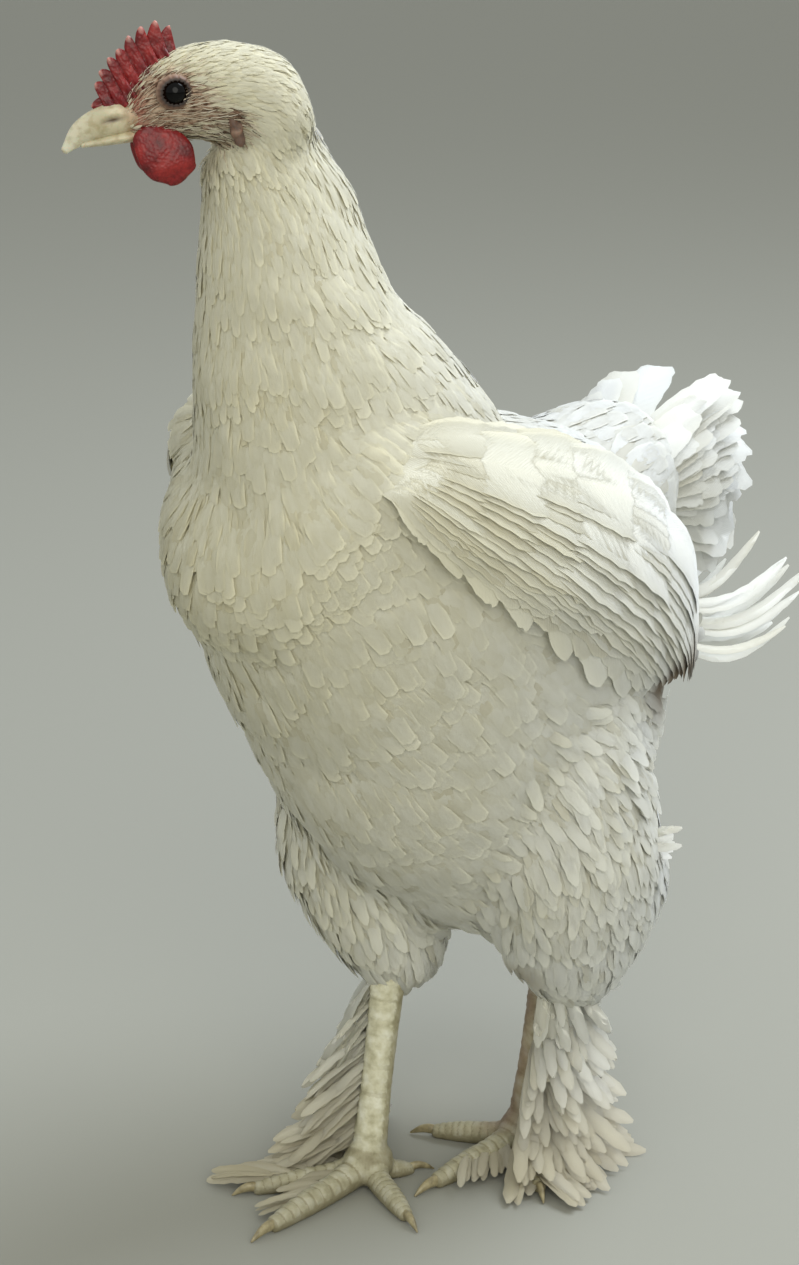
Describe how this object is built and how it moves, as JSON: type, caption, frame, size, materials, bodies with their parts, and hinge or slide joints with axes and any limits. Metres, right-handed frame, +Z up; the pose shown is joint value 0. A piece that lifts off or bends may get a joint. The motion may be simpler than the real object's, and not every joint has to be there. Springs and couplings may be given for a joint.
{
  "type": "brahma chicken",
  "caption": "Life-size young white Brahma chicken standing in mid-stride, head turned to its right, with an upright comb, folded wings and feathered legs.",
  "frame": {"origin": "on the floor, under the middle of the bird's box", "axes": "+Z up, -Y the way the body faces, +X to the bird's left"},
  "size_m": [0.2136, 0.4378, 0.5991],
  "materials": {
    "plumage": "soft matte white to cream contour feathers over down, with bluish white lights on the back",
    "comb_and_wattles": "finely pebbled blood-red bare skin with a soft sheen",
    "bare_skin": "thin pinkish cream skin with sparse bristles",
    "eye": "wet, glossy dark brown",
    "beak_horn": "pale yellowish horn with a satin surface",
    "leg_scales": "dull pale yellow scutes, dusty and soiled at the toes",
    "claw_horn": "worn, dull horn"
  },
  "bodies": {
    "root": {"beak_lower": "beak_horn", "beak_upper": "beak_horn", "claw_left_hind": "claw_horn", "claw_left_inner": "claw_horn", "claw_left_middle": "claw_horn", "claw_left_outer": "claw_horn", "claw_right_hind": "claw_horn", "claw_right_inner": "claw_horn", "claw_right_middle": "claw_horn", "claw_right_outer": "claw_horn", "comb": "comb_and_wattles", "earlobe_left": "bare_skin", "earlobe_right": "bare_skin", "eye_left": "eye", "eye_right": "eye", "foot_left": "leg_scales", "foot_right": "leg_scales", "head": "plumage", "neck": "plumage", "shank_left": "plumage", "shank_right": "plumage", "tail": "plumage", "thigh_left": "plumage", "thigh_right": "plumage", "toe_left_hind": "leg_scales", "toe_left_inner": "leg_scales", "toe_left_middle": "leg_scales", "toe_left_outer": "leg_scales", "toe_right_hind": "leg_scales", "toe_right_inner": "leg_scales", "toe_right_middle": "leg_scales", "toe_right_outer": "leg_scales", "torso": "plumage", "vent_fluff": "plumage", "wattle_left": "comb_and_wattles", "wattle_right": "comb_and_wattles", "wing_left": "plumage", "wing_right": "plumage"}
  },
  "joints": []
}
